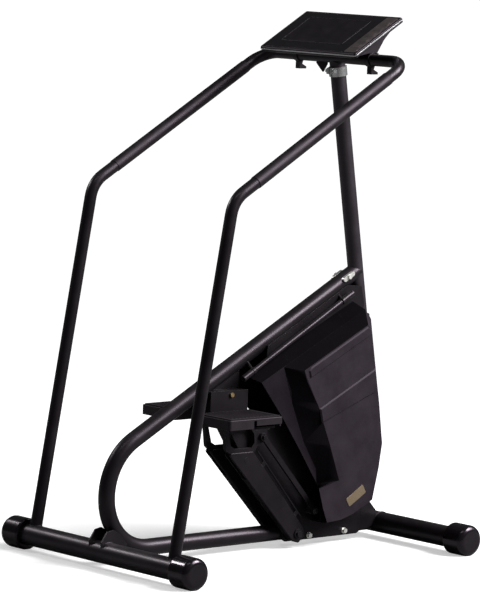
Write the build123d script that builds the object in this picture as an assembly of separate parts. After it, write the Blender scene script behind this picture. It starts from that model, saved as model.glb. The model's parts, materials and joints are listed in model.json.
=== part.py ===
from build123d import *
import math
import os

# Stair-stepping climber. Millimetres, +Z up, +Y the way the user faces, +X the user's right.
# The origin is on the floor, midway between the two base tubes. Positions marked "ahead" are
# measured forward from the rear base tube's axis.

# ---- floor frame ----
BASE_SPACING = 1028.0
REAR_Y = -BASE_SPACING / 2
BASE_Z = 43.5
BASE_R = 30.5
BASE_WALL = 2.5
CAP_R = 45.0
CAP_MOUTH_X = 328.0
CAP_END_X = 404.0
CAP_SOCKET = 32.0
CAP_EDGE_R = 17.0
CAP_LIP_R = 6.0

# ---- spine: one bent tube ----
SPINE_R = 23.5
SPINE_WALL = 2.5
SPINE_REAR = 10.0
SPINE_CORNER_Z = 299.0
SPINE_LOW_BEND = 150.0
SPINE_HIGH_BEND = 172.0
SPINE_SLOPE = 0.537
SPINE_TOP_AHEAD = 918.0

# ---- mast ----
MAST_R = 22.5
MAST_WALL = 2.5
MAST_TOP = (810.0, 1395.0)
MAST_BEND = (996.0, 310.0)
MAST_FOOT = (955.0, 50.0)
MAST_BEND_R = 320.0

# ---- handrail loop ----
RAIL_R = 17.0
RAIL_WALL = 2.0
RAIL_X = 300.0
RAIL_LOW = (172.0, 1033.0)
RAIL_TOP = (801.0, 1401.0)
RAIL_LOW_BEND = 85.0
RAIL_TOP_BEND = 62.0
GRIP_R = 18.4
GRIP_START = 90.0
GRIP_END = 85.0

# ---- pedal linkage ----
LOW_PIVOT = (676.0, 44.0)
LINK_OFFSET = (61.0, 62.0)
ARM_LENGTH = 306.0
ARM_ANGLE = 47.8
ARM_IN = 30.0
ARM_OUT = 54.0
ARM_WALL = 3.0
ARM_HALF_TOP = 34.0
ARM_HALF_LOW = 27.0
ARM_HEEL = 24.0
ARM_CREST_Z = 294.0
FORK_IN = 35.5
FORK_OUT = 48.5
FORK_DEPTH = 46.0
EDGE_ROD_R = 2.4
EDGE_ROD_X = 51.5
SHAFT_R = 9.0
BUSH_R = 12.0
RUN_GAP = 0.05
PIN_R = 8.0
LINK_PIN_R = 6.0
LINK_IN = 49.5
LINK_OUT = 57.5
LINK_HALF = 7.5
LINK_EYE_R = 12.0
CARRIER_IN = 36.0
CARRIER_OUT = 48.0
CARRIER_LUG_R = 21.0
CARRIER_TOP_Z = 378.0

# ---- pedals ----
PEDAL_IN = 45.0
PEDAL_OUT = 190.0
PEDAL_REAR = 284.0
PEDAL_FRONT = 482.0
PEDAL_LOW_Z = 384.0
PEDAL_TOP_Z = 412.0
PEDAL_FRONT_LOW_Z = 392.0
PEDAL_WALL = 4.0
NOTCH_FROM = 374.0
NOTCH_TO = 384.0
TREAD_T = 3.0
TREAD_RIB_H = 1.2
TREAD_RIBS = 13

# ---- drive frame and drive ----
PLATE_IN = 23.5
PLATE_OUT = 28.5
DRIVE_AXIS = (775.0, 455.0)
DRIVE_SHAFT_R = 10.0
HUB_R = 38.0
HUB_TEETH = 17
HUB_IN = 42.0
HUB_OUT = 54.0
WHEEL_R = 108.0
ROTOR_AXIS = (850.0, 232.0)
ROTOR_PULLEY_R = 21.6
BELT_X = -13.0
BELT_W = 11.0
BELT_T = 7.0

# ---- covers ----
COVER_T = 3.0
COVER_X0 = 29.0
COVER_X1 = 70.0
COVER_X2 = 105.0
RIB_PROUD = 4.0
NOSE_R = 28.8
NOSE_T = 3.0
NOSE_TOP_Z = 655.0
NOSE_LOW_Z = 285.0

# ---- console ----
CONSOLE_LOW = (691.0, 1420.0)
CONSOLE_TILT = 30.3
CONSOLE_W = 400.0
CONSOLE_D = 206.0
CONSOLE_LIP_T = 15.0
CONSOLE_BODY_W = 316.0
FACE_T = 1.2
TRIM_T = 1.6
CLIP_X = 150.0

os.makedirs("parts", exist_ok=True)


def save(shape, name):
    export_step(shape, f"parts/{name}.step")


def pt(ahead, z, x=0.0):
    return Vector(x, REAR_Y + ahead, z)


def side_face(points, x):
    """Flat polygon in a plane of constant X; points are (ahead, z)."""
    corners = [pt(a, z, x) for a, z in points]
    return Face(Wire.make_polygon(corners, close=True))


def prism(points, x_from, x_to):
    return extrude(side_face(points, x_from), amount=x_to - x_from, dir=(1, 0, 0))


def cross_rod(centre, radius, x_from, x_to):
    """Cylinder along X."""
    middle = pt(centre[0], centre[1], (x_from + x_to) / 2)
    return Location(middle, (0, 90, 0)) * Cylinder(radius, abs(x_to - x_from))


def cross_ring(centre, r_out, r_in, x_from, x_to):
    low, high = min(x_from, x_to), max(x_from, x_to)
    return cross_rod(centre, r_out, low, high) - cross_rod(centre, r_in, low - 1, high + 1)


def hex_head(centre, across, x_from, x_to):
    sketch = Plane(origin=pt(centre[0], centre[1], x_from), z_dir=(1, 0, 0)) * RegularPolygon(across / 2, 6)
    return extrude(sketch, amount=x_to - x_from, dir=(1, 0, 0))


def bent_tube(points, radii, r_out, r_in):
    """Hollow tube along a filleted 3-D polyline."""
    path = FilletPolyline(*points, radius=radii)
    start = Plane(origin=path @ 0, z_dir=path % 0)
    outer = sweep(start * Circle(r_out), path=path)
    if r_in <= 0:
        return outer
    return outer - sweep(start * Circle(r_in), path=path)


def straight_rod(a, b, radius):
    axis = b - a
    return extrude(Plane(origin=a, z_dir=axis) * Circle(radius), amount=axis.length)


def box(x_from, x_to, a_from, a_to, z_from, z_to):
    centre = pt((a_from + a_to) / 2, (z_from + z_to) / 2, (x_from + x_to) / 2)
    return Location(centre) * Box(abs(x_to - x_from), abs(a_to - a_from), abs(z_to - z_from))


def mirrored(shape):
    return mirror(shape, about=Plane.YZ)


def both(shape):
    """The shape and its mirror image as separate solids."""
    return Compound(children=list(shape.solids()) + list(mirrored(shape).solids()))


def inset(points, distance):
    """Polygon moved inward by a distance on every edge."""
    count = len(points)
    area = sum(points[i][0] * points[(i + 1) % count][1] - points[(i + 1) % count][0] * points[i][1]
               for i in range(count))
    turn = 1.0 if area > 0 else -1.0
    result = []
    for i in range(count):
        before, here, after = points[i - 1], points[i], points[(i + 1) % count]
        d1 = (here[0] - before[0], here[1] - before[1])
        d2 = (after[0] - here[0], after[1] - here[1])
        l1, l2 = math.hypot(*d1), math.hypot(*d2)
        n1 = (-d1[1] / l1 * turn, d1[0] / l1 * turn)
        n2 = (-d2[1] / l2 * turn, d2[0] / l2 * turn)
        spread = 1 + n1[0] * n2[0] + n1[1] * n2[1]
        result.append((here[0] + (n1[0] + n2[0]) * distance / spread,
                       here[1] + (n1[1] + n2[1]) * distance / spread))
    return result


def spine_z(ahead):
    return SPINE_CORNER_Z + SPINE_SLOPE * (ahead - SPINE_REAR)


def mast_ahead(z):
    run = (MAST_BEND[0] - MAST_TOP[0]) / (MAST_TOP[1] - MAST_BEND[1])
    return MAST_TOP[0] + run * (MAST_TOP[1] - z)


def along(origin, angle, distance, offset=0.0):
    """Point at a distance rearward-up from a pivot, with an offset towards the front."""
    c, s = math.cos(math.radians(angle)), math.sin(math.radians(angle))
    return (origin[0] - distance * c + offset * s, origin[1] + distance * s + offset * c)


ARM_TIP = along(LOW_PIVOT, ARM_ANGLE, ARM_LENGTH)
LINK_LOW = (LOW_PIVOT[0] + LINK_OFFSET[0], LOW_PIVOT[1] + LINK_OFFSET[1])
LINK_TOP = (ARM_TIP[0] + LINK_OFFSET[0], ARM_TIP[1] + LINK_OFFSET[1])

# ================= floor frame =================


def base_tube(ahead):
    half = CAP_MOUTH_X + CAP_SOCKET - 2
    return cross_ring((ahead, BASE_Z), BASE_R, BASE_R - BASE_WALL, -half, half)


def base_cap(ahead, side):
    """Rounded cap over a tube end, with a flat under it to stand on."""
    length = CAP_END_X - CAP_MOUTH_X
    outer = cross_rod((ahead, BASE_Z), CAP_R, CAP_MOUTH_X, CAP_END_X)
    ends = outer.edges().filter_by(GeomType.CIRCLE).sort_by(Axis.X)
    outer = fillet(ends[-1], CAP_EDGE_R)
    ends = outer.edges().filter_by(GeomType.CIRCLE).sort_by(Axis.X)
    outer = fillet(ends[0], CAP_LIP_R)
    socket = cross_rod((ahead, BASE_Z), BASE_R, CAP_MOUTH_X - 1, CAP_MOUTH_X + CAP_SOCKET)
    under = box(CAP_MOUTH_X - 1, CAP_MOUTH_X + length + 1, ahead - CAP_R, ahead + CAP_R, -CAP_R, 0)
    cap = outer - socket - under
    return cap if side > 0 else mirrored(cap)


rear_core = cross_rod((0, BASE_Z), BASE_R, -CAP_MOUTH_X, CAP_MOUTH_X)
front_core = cross_rod((BASE_SPACING, BASE_Z), BASE_R, -CAP_MOUTH_X, CAP_MOUTH_X)
save(base_tube(0), "rear_base_tube")
save(base_tube(BASE_SPACING), "front_base_tube")
caps = [base_cap(ahead, side) for ahead in (0.0, BASE_SPACING) for side in (-1, 1)]
save(Compound(children=[cap.solids()[0] for cap in caps]), "base_caps")

# spine: floor run, curl and rising run
spine_points = [pt(BASE_SPACING, BASE_Z), pt(SPINE_REAR, BASE_Z), pt(SPINE_REAR, SPINE_CORNER_Z),
                pt(SPINE_TOP_AHEAD, spine_z(SPINE_TOP_AHEAD))]
spine_bends = [SPINE_LOW_BEND, SPINE_HIGH_BEND]
spine_core = bent_tube(spine_points, spine_bends, SPINE_R, 0)
spine = bent_tube(spine_points, spine_bends, SPINE_R, SPINE_R - SPINE_WALL)

mast_points = [pt(*MAST_TOP), pt(*MAST_BEND), pt(*MAST_FOOT)]
mast_core = bent_tube(mast_points, [MAST_BEND_R], MAST_R, 0)
mast = bent_tube(mast_points, [MAST_BEND_R], MAST_R, MAST_R - MAST_WALL)

FRAME_BOLTS = [(742.0, 30.0), (879.0, 32.0)]
FRAME_BOLT_R = 5.0
shaft_hole = cross_rod(LOW_PIVOT, SHAFT_R, -60, 60)
bolt_holes = Compound(children=[cross_rod(c, FRAME_BOLT_R, -60, 60) for c in FRAME_BOLTS])
ANCHOR = (866.0, 771.0)
anchor_hole = cross_rod(ANCHOR, FRAME_BOLT_R, -60, 60)
spine = spine - front_core - mast_core - shaft_hole - bolt_holes - anchor_hole
spine = max(spine.solids(), key=lambda s: s.volume)
save(spine, "spine_tube")

crossbar_core = cross_rod(RAIL_TOP, RAIL_R, -RAIL_X, RAIL_X)
mast = mast - crossbar_core
floor_core = straight_rod(pt(SPINE_REAR + 200, BASE_Z), pt(BASE_SPACING, BASE_Z), SPINE_R)
mast = mast - floor_core
mast = max(mast.solids(), key=lambda s: s.volume)
save(mast, "mast_tube")

# handrail loop
rail_points = [pt(0, BASE_Z, -RAIL_X), pt(*RAIL_LOW, -RAIL_X), pt(*RAIL_TOP, -RAIL_X),
               pt(*RAIL_TOP, RAIL_X), pt(*RAIL_LOW, RAIL_X), pt(0, BASE_Z, RAIL_X)]
rail_bends = [RAIL_LOW_BEND, RAIL_TOP_BEND, RAIL_TOP_BEND, RAIL_LOW_BEND]
handrail = bent_tube(rail_points, rail_bends, RAIL_R, RAIL_R - RAIL_WALL) - rear_core
handrail = max(handrail.solids(), key=lambda s: s.volume)
save(handrail, "handrail_loop")

rail_run = pt(*RAIL_TOP, RAIL_X) - pt(*RAIL_LOW, RAIL_X)
rail_dir = rail_run.normalized()
grip_from = pt(*RAIL_LOW, RAIL_X) + rail_dir * GRIP_START
grip_to = pt(*RAIL_TOP, RAIL_X) - rail_dir * GRIP_END
grip = straight_rod(grip_from, grip_to, GRIP_R)
grip = fillet(grip.edges().filter_by(GeomType.CIRCLE), 0.9)
grip = grip - straight_rod(grip_from - rail_dir * 5, grip_to + rail_dir * 5, RAIL_R)
save(both(grip), "handrail_grips")

# weld plates between the base tubes, spine and mast
rear_gusset_outline = [(-26, 60), (-26, 76), (-6, 104), (16, 108), (36, 96), (66, 64), (48, 46), (0, 44)]
rear_gusset = prism(rear_gusset_outline, PLATE_IN, PLATE_OUT) - rear_core
rear_gusset = max(rear_gusset.solids(), key=lambda s: s.volume)
front_gusset_outline = [(945, 30), (945, 116), (958, 120), (980, 108), (1010, 76), (1026, 66), (1026, 54), (975, 30)]
front_gusset = prism(front_gusset_outline, PLATE_IN, PLATE_OUT) - front_core
front_gusset = max(front_gusset.solids(), key=lambda s: s.volume)
gussets = list(both(rear_gusset).solids()) + list(both(front_gusset).solids())
save(Compound(children=gussets), "frame_gussets")

# ================= drive frame =================
plate_outline = [(640, 26), (652, 19), (930, 19), (944, 28), (944, 118), (886, 130), (876, 300), (886, 560),
                 (928, 690), (914, 742), (862, 748), (560, 588), (552, 500), (640, 470), (640, 402), (560, 372),
                 (440, 372), (428, 352), (462, 301), (624, 88), (640, 62)]
plate = prism(plate_outline, PLATE_IN, PLATE_OUT)
window_low = prism([(742, 140), (800, 140), (800, 320), (742, 340)], 0, 60)
window_high = prism([(744, 540), (828, 540), (818, 640), (758, 612)], 0, 60)
plate = plate - fillet(window_low.edges().filter_by(Axis.X), 14) - fillet(window_high.edges().filter_by(Axis.X), 14)
plate = plate - shaft_hole - bolt_holes - cross_rod(LINK_LOW, LINK_PIN_R + 1, 0, 60)
plate = plate - cross_rod(DRIVE_AXIS, DRIVE_SHAFT_R + 4, 0, 60)
plate = plate - mast_core
plate = max(plate.solids(), key=lambda s: s.volume)
save(both(plate), "drive_plates")

bolt_parts = []
for centre in FRAME_BOLTS:
    bolt = cross_rod(centre, FRAME_BOLT_R, -PLATE_OUT - 6, PLATE_OUT + 6)
    for sign in (-1, 1):
        bolt = bolt + cross_rod(centre, 9.0, sign * PLATE_OUT, sign * (PLATE_OUT + 2))
        bolt = bolt + hex_head(centre, 15.0, sign * (PLATE_OUT + 2), sign * (PLATE_OUT + 9))
    bolt_parts.append(bolt)
save(Compound(children=bolt_parts), "frame_bolts")

# ================= pivots =================
SHAFT_END = 57.0
pivot_shaft = cross_rod(LOW_PIVOT, SHAFT_R, -SHAFT_END, SHAFT_END)
for sign in (-1, 1):
    pivot_shaft = pivot_shaft + cross_rod(LOW_PIVOT, 14.0, sign * (ARM_OUT + 1), sign * (ARM_OUT + 4))
    pivot_shaft = pivot_shaft + hex_head(LOW_PIVOT, 18.0, sign * (ARM_OUT + 4), sign * (ARM_OUT + 10))
save(pivot_shaft, "arm_pivot_shaft")

link_shaft = cross_rod(LINK_LOW, LINK_PIN_R + 1, -LINK_OUT - 2, LINK_OUT + 2)
for sign in (-1, 1):
    link_shaft = link_shaft + cross_rod(LINK_LOW, 10.0, sign * (LINK_OUT + 1), sign * (LINK_OUT + 3))
    link_shaft = link_shaft + hex_head(LINK_LOW, 13.0, sign * (LINK_OUT + 3), sign * (LINK_OUT + 8))
save(link_shaft, "link_pivot_shaft")
spacer = cross_ring(LINK_LOW, 11.0, LINK_PIN_R + 1, PLATE_OUT, LINK_IN - 1)
save(both(spacer), "link_spacers")

# ================= arms (right side, then mirrored) =================


def arm_edge(side, z):
    """Point where the arm's rear (-1) or front (1) edge line passes a height."""
    low = along(LOW_PIVOT, ARM_ANGLE, 0, side * ARM_HALF_LOW)
    high = along(LOW_PIVOT, ARM_ANGLE, ARM_LENGTH, side * ARM_HALF_TOP)
    share = (z - low[1]) / (high[1] - low[1])
    return (low[0] + (high[0] - low[0]) * share, z)


arm_outline = [along(LOW_PIVOT, ARM_ANGLE, -ARM_HEEL, -ARM_HALF_LOW * 0.55),
               along(LOW_PIVOT, ARM_ANGLE, 0, -ARM_HALF_LOW),
               arm_edge(-1, ARM_CREST_Z - 14),
               arm_edge(-1, ARM_CREST_Z),
               arm_edge(1, ARM_CREST_Z),
               along(LOW_PIVOT, ARM_ANGLE, 0, ARM_HALF_LOW),
               along(LOW_PIVOT, ARM_ANGLE, -ARM_HEEL, ARM_HALF_LOW * 0.55)]
arm = prism(arm_outline, ARM_IN, ARM_OUT)
arm = fillet(arm.edges().filter_by(Axis.X), 6)
long_edges = [e for e in arm.edges() if abs(e.tangent_at(0.5).X) < 0.1]
arm = fillet(long_edges, 2.5)
hollow_points = [along(LOW_PIVOT, ARM_ANGLE, 30, -ARM_HALF_LOW + ARM_WALL),
                 along(LOW_PIVOT, ARM_ANGLE, ARM_LENGTH - 56, -ARM_HALF_TOP + ARM_WALL + 1),
                 along(LOW_PIVOT, ARM_ANGLE, ARM_LENGTH - 56, ARM_HALF_TOP - ARM_WALL - 1),
                 along(LOW_PIVOT, ARM_ANGLE, 30, ARM_HALF_LOW - ARM_WALL)]
arm = arm - prism(hollow_points, ARM_IN + ARM_WALL, ARM_OUT - ARM_WALL)
fork_points = [along(LOW_PIVOT, ARM_ANGLE, ARM_LENGTH - FORK_DEPTH, -60),
               along(LOW_PIVOT, ARM_ANGLE, ARM_LENGTH + 90, -60),
               along(LOW_PIVOT, ARM_ANGLE, ARM_LENGTH + 90, 60),
               along(LOW_PIVOT, ARM_ANGLE, ARM_LENGTH - FORK_DEPTH, 60)]
arm = arm - prism(fork_points, FORK_IN, FORK_OUT)
arm = arm - cross_rod(LOW_PIVOT, BUSH_R, 0, 80) - cross_rod(ARM_TIP, PIN_R, 0, 80)
save(arm, "lower_arm_right")
save(mirrored(arm), "lower_arm_left")

# slim rod beside the arm's front edge, on two lugs
ROD_GAP = 13.0
rod_low = along(LOW_PIVOT, ARM_ANGLE, 22, ARM_HALF_LOW + ROD_GAP)
rod_top = along(LOW_PIVOT, ARM_ANGLE, ARM_LENGTH - 14, ARM_HALF_TOP + ROD_GAP)
edge_rod = straight_rod(pt(*rod_low, EDGE_ROD_X), pt(*rod_top, EDGE_ROD_X), EDGE_ROD_R)
for distance, half in ((44.0, ARM_HALF_LOW), (ARM_LENGTH - 62, ARM_HALF_TOP - 1)):
    lug = prism([along(LOW_PIVOT, ARM_ANGLE, distance, half - 3),
                 along(LOW_PIVOT, ARM_ANGLE, distance, half + ROD_GAP),
                 along(LOW_PIVOT, ARM_ANGLE, distance + 12, half + ROD_GAP),
                 along(LOW_PIVOT, ARM_ANGLE, distance + 12, half - 3)],
                EDGE_ROD_X - 2, EDGE_ROD_X + 2)
    edge_rod = edge_rod + lug
edge_rod = edge_rod - arm
edge_rod = max(edge_rod.solids(), key=lambda s: s.volume)
save(edge_rod, "arm_edge_rod_right")
save(mirrored(edge_rod), "arm_edge_rod_left")

bush = cross_ring(LOW_PIVOT, BUSH_R, SHAFT_R + RUN_GAP, ARM_IN - 0.8, ARM_OUT + 0.6)
save(bush, "arm_bush_right")
save(mirrored(bush), "arm_bush_left")

tip_pin = cross_rod(ARM_TIP, PIN_R, ARM_IN, ARM_OUT + 0.6)
save(tip_pin, "carrier_pin_right")
save(mirrored(tip_pin), "carrier_pin_left")

# levelling link
link = prism([along(LINK_LOW, ARM_ANGLE, 0, -LINK_HALF), along(LINK_LOW, ARM_ANGLE, ARM_LENGTH, -LINK_HALF),
              along(LINK_LOW, ARM_ANGLE, ARM_LENGTH, LINK_HALF), along(LINK_LOW, ARM_ANGLE, 0, LINK_HALF)],
             LINK_IN, LINK_OUT)
link = link + cross_rod(LINK_LOW, LINK_EYE_R, LINK_IN, LINK_OUT) + cross_rod(LINK_TOP, LINK_EYE_R, LINK_IN, LINK_OUT)
link = link - cross_rod(LINK_LOW, LINK_PIN_R + 1 + RUN_GAP, 0, 80)
link = link - cross_rod(LINK_TOP, LINK_PIN_R + 0.35, 0, 80)
save(link, "levelling_link_right")
save(mirrored(link), "levelling_link_left")

# pedal carrier: plate with a six-sided window, shelf under the pedal
window = [(404, 358), (416, 314), (432, 304), (494, 304), (505, 318), (502, 344), (490, 358)]
carrier_outline = [(388, CARRIER_TOP_Z), (545, CARRIER_TOP_Z), (551, 346), (545, 322), (529, 314), (516, 308),
                   (506, 294), (494, 270), (486, 255), (470, 249), (454, 255), (398, 304)]
carrier = prism(carrier_outline, CARRIER_IN, CARRIER_OUT)
carrier = fillet(carrier.edges().filter_by(Axis.X), 4)
carrier = carrier - prism(window, 0, 80)
shelf = box(CARRIER_IN, 168, 400, 474, CARRIER_TOP_Z, CARRIER_TOP_Z + 6)
shelf = fillet(shelf.edges().filter_by(Axis.Z), 6)
PEDAL_BOLTS = [(78.0, 415.0), (78.0, 460.0), (150.0, 415.0), (150.0, 460.0)]
carrier = carrier + shelf
carrier = carrier - cross_rod(ARM_TIP, PIN_R + RUN_GAP, 0, 80) - cross_rod(LINK_TOP, LINK_PIN_R, 0, 80)
for x, a in PEDAL_BOLTS:
    carrier = carrier - Location(pt(a, CARRIER_TOP_Z + 3, x)) * Cylinder(3.2, 20)
save(carrier, "pedal_carrier_right")
save(mirrored(carrier), "pedal_carrier_left")

link_pin = cross_rod(LINK_TOP, LINK_PIN_R, CARRIER_IN - 3, LINK_OUT + 2)
link_pin = link_pin + hex_head(LINK_TOP, 14.0, LINK_OUT + 1, LINK_OUT + 7)
link_pin = link_pin + hex_head(LINK_TOP, 13.0, CARRIER_IN - 5.5, CARRIER_IN)
save(link_pin, "link_pin_right")
save(mirrored(link_pin), "link_pin_left")

# pedal: hollow step with a notched outer skirt
pedal = box(PEDAL_IN, PEDAL_OUT, PEDAL_REAR, PEDAL_FRONT, PEDAL_LOW_Z, PEDAL_TOP_Z)
pedal = fillet(pedal.edges().filter_by(Axis.Z), 9)
pedal = fillet(pedal.faces().sort_by(Axis.Z)[-1].edges(), 2.5)
inside = box(PEDAL_IN + PEDAL_WALL, PEDAL_OUT - PEDAL_WALL, PEDAL_REAR + PEDAL_WALL, PEDAL_FRONT - PEDAL_WALL,
             PEDAL_LOW_Z - 1, PEDAL_TOP_Z - 5)
pedal = pedal - inside
pedal = pedal - box(PEDAL_OUT - PEDAL_WALL - 2, PEDAL_OUT + 1, NOTCH_FROM, NOTCH_TO, PEDAL_LOW_Z - 1,
                    PEDAL_TOP_Z - 6)
pedal = pedal - box(PEDAL_OUT - PEDAL_WALL - 6, PEDAL_OUT + 1, NOTCH_TO - 1, PEDAL_FRONT + 1, PEDAL_LOW_Z - 1,
                    PEDAL_FRONT_LOW_Z)
for x, a in PEDAL_BOLTS:
    pedal = pedal + Location(pt(a, (PEDAL_LOW_Z + PEDAL_TOP_Z - 4) / 2, x)) * Cylinder(8, PEDAL_TOP_Z - 4 - PEDAL_LOW_Z)
for x, a in PEDAL_BOLTS:
    pedal = pedal - Location(pt(a, PEDAL_LOW_Z + 9, x)) * Cylinder(3.0, 20)
cross_web = box(PEDAL_IN + 2, PEDAL_OUT - 2, 340, 344, PEDAL_LOW_Z + 6, PEDAL_TOP_Z - 3)
pedal = pedal + cross_web
save(pedal, "pedal_right")
save(mirrored(pedal), "pedal_left")

bolts = []
for x, a in PEDAL_BOLTS:
    shank = Location(pt(a, CARRIER_TOP_Z + 9, x)) * Cylinder(3.0, 18)
    head = Location(pt(a, CARRIER_TOP_Z - 2.5, x)) * Cylinder(6.0, 5)
    bolts.append(shank + head)
pedal_bolts = Compound(children=bolts)
save(pedal_bolts, "pedal_bolts_right")
save(Compound(children=list(mirrored(pedal_bolts).solids())), "pedal_bolts_left")

tread = box(PEDAL_IN + 5, PEDAL_OUT - 5, PEDAL_REAR + 5, PEDAL_FRONT - 5, PEDAL_TOP_Z, PEDAL_TOP_Z + TREAD_T)
tread = fillet(tread.edges().filter_by(Axis.Z), 7)
pitch = (PEDAL_FRONT - PEDAL_REAR - 30) / TREAD_RIBS
for i in range(TREAD_RIBS):
    start = PEDAL_REAR + 15 + (i + 0.25) * pitch
    tread = tread + box(PEDAL_IN + 12, PEDAL_OUT - 12, start, start + pitch * 0.5, PEDAL_TOP_Z + TREAD_T - 0.5,
                        PEDAL_TOP_Z + TREAD_T + TREAD_RIB_H)
save(tread, "pedal_tread_right")
save(mirrored(tread), "pedal_tread_left")

# ================= top stop under the spine =================
STOP_REAR, STOP_FRONT = 343.0, 480.0
STOP_LOW_Z, STOP_TOP_Z = 412.5, 470.0
STOP_FOOT_Z = 421.0
STOP_HALF = 40.0
STOP_WALL = 4.0
stop = box(-STOP_HALF, STOP_HALF, STOP_REAR, STOP_FRONT, STOP_LOW_Z, STOP_TOP_Z)
stop = stop - box(-STOP_HALF + STOP_WALL, STOP_HALF - STOP_WALL, STOP_REAR - 1, STOP_FRONT + 1, STOP_LOW_Z - 1,
                  STOP_TOP_Z - STOP_WALL)
web = prism([(STOP_REAR + 30, STOP_TOP_Z - 1), (STOP_FRONT - 4, STOP_TOP_Z - 1),
             (STOP_FRONT - 4, spine_z(STOP_FRONT)), (STOP_REAR + 30, spine_z(STOP_REAR + 30))], -4, 4)
foot = box(-STOP_HALF, STOP_HALF, 432, 470, STOP_FOOT_Z, STOP_FOOT_Z + 5)
STOP_BOLT = (418.0, 458.0)
stop = stop + web + foot - spine_core - cross_rod(STOP_BOLT, 4.5, -60, 60)
stop = max(stop.solids(), key=lambda s: s.volume)
save(stop, "stop_bracket")
stop_bolt = cross_rod(STOP_BOLT, 4.5, -STOP_HALF - 2, STOP_HALF + 2)
for sign in (-1, 1):
    stop_bolt = stop_bolt + hex_head(STOP_BOLT, 14.0, sign * STOP_HALF, sign * (STOP_HALF + 6))
save(stop_bolt, "stop_bolt")
bumper = box(22.0, 34.0, 438, 464, CARRIER_TOP_Z + 6.4, STOP_FOOT_Z)
bumper = fillet(bumper.edges().filter_by(Axis.Z), 4)
save(both(bumper), "stop_bumpers")

# ================= return spring tubes beside the spine =================
SPRING_X = 45.0
SPRING_REAR = (455.0, 501.0)
SPRING_FRONT = (865.0, 727.0)
spring_a = pt(*SPRING_REAR, SPRING_X)
spring_b = pt(*SPRING_FRONT, SPRING_X)
spring_dir = (spring_b - spring_a).normalized()
END_LEN = 48.0
COLLAR_LEN = 9.0
sleeve = straight_rod(spring_a + spring_dir * END_LEN, spring_b - spring_dir * END_LEN, 7.5)
sleeve = sleeve - straight_rod(spring_a, spring_b, 5.5)
save(both(sleeve), "spring_tubes")
fittings = []
for start, sign in ((spring_a, 1), (spring_b, -1)):
    body = straight_rod(start, start + spring_dir * (sign * (END_LEN - COLLAR_LEN)), 9.5)
    body = fillet(body.edges().filter_by(GeomType.CIRCLE), 2.0)
    fittings.append(body)
fitting_pair = Compound(children=fittings)
save(Compound(children=fittings + list(mirrored(fitting_pair).solids())), "spring_end_fittings")
collars = []
for start, sign in ((spring_a, 1), (spring_b, -1)):
    near = start + spring_dir * (sign * (END_LEN - COLLAR_LEN))
    far = start + spring_dir * (sign * END_LEN)
    ring = straight_rod(near, far, 10.5)
    middle = (near + far) / 2
    spine_point = Vector(0, middle.Y, spine_z(middle.Y - REAR_Y))
    ring = ring + straight_rod(middle, spine_point, 3.5) - spine_core - plate - fittings[0] - fittings[1] - sleeve
    collars.append(max(ring.solids(), key=lambda s: s.volume))
collar_pair = Compound(children=collars)
save(Compound(children=collars + list(mirrored(collar_pair).solids())), "spring_collars")

# bright anchor link on each side where the spine meets the mast
anchor_dir = Vector(0, 1, SPINE_SLOPE).normalized()
anchor_mid = pt(*ANCHOR, 0)
anchor_plane = Plane(origin=anchor_mid + Vector(SPINE_R, 0, 0), x_dir=anchor_dir, z_dir=(1, 0, 0))
anchor = extrude(anchor_plane.offset(-6) * SlotOverall(46, 13), amount=10)
anchor = anchor + hex_head(ANCHOR, 14.0, SPINE_R + 4, SPINE_R + 9)
anchor_bolt = cross_rod(ANCHOR, FRAME_BOLT_R, -SPINE_R - 1, SPINE_R + 1)
anchor_all = anchor + mirrored(anchor) - spine_core + anchor_bolt
save(anchor_all, "spring_anchor")

# ================= drive =================
drive_shaft = cross_rod(DRIVE_AXIS, DRIVE_SHAFT_R, -62, 62)
drive_shaft = chamfer(drive_shaft.edges().filter_by(GeomType.CIRCLE), 1.2)
save(drive_shaft, "drive_shaft")
bearing = cross_ring(DRIVE_AXIS, 30.0, DRIVE_SHAFT_R + RUN_GAP, PLATE_OUT, 38.0)
bearing = bearing + cross_ring(DRIVE_AXIS, 18.0, DRIVE_SHAFT_R + RUN_GAP, 37.0, 41.0)
save(both(bearing), "shaft_bearings")

hub = cross_rod(DRIVE_AXIS, HUB_R - 6, HUB_IN, HUB_OUT)
gear_points = []
for i in range(HUB_TEETH):
    for step, radius in ((0.0, HUB_R - 7), (0.3, HUB_R - 7), (0.5, HUB_R), (0.7, HUB_R)):
        turn = 2 * math.pi * (i + step) / HUB_TEETH
        gear_points.append((DRIVE_AXIS[0] + radius * math.cos(turn), DRIVE_AXIS[1] + radius * math.sin(turn)))
hub = hub + prism(gear_points, HUB_IN + 4, HUB_OUT - 3)
hub = hub - cross_rod(DRIVE_AXIS, DRIVE_SHAFT_R + RUN_GAP, 0, 90)
save(hub, "clutch_hub_right")
save(mirrored(hub), "clutch_hub_left")
hub_stop = cross_ring(DRIVE_AXIS, 16.0, DRIVE_SHAFT_R, HUB_OUT + 0.8, HUB_OUT + 5)
save(both(hub_stop), "shaft_collars")

wheel = cross_rod(DRIVE_AXIS, WHEEL_R + 4, BELT_X - 8, BELT_X + 8)
groove = cross_ring(DRIVE_AXIS, WHEEL_R + 6, WHEEL_R, BELT_X - BELT_W / 2 - 0.5, BELT_X + BELT_W / 2 + 0.5)
wheel = wheel - groove
for sign in (-1, 1):
    face_x = BELT_X + sign * 8
    wheel = wheel - cross_ring(DRIVE_AXIS, WHEEL_R - 16, 26, face_x - sign * 5, face_x + sign * 1)
for i in range(5):
    turn = 2 * math.pi * i / 5
    hole = (DRIVE_AXIS[0] + 60 * math.cos(turn), DRIVE_AXIS[1] + 60 * math.sin(turn))
    wheel = wheel - cross_rod(hole, 20, -60, 60)
wheel = wheel - cross_rod(DRIVE_AXIS, DRIVE_SHAFT_R, -60, 60)
save(wheel, "drive_wheel")

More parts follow.
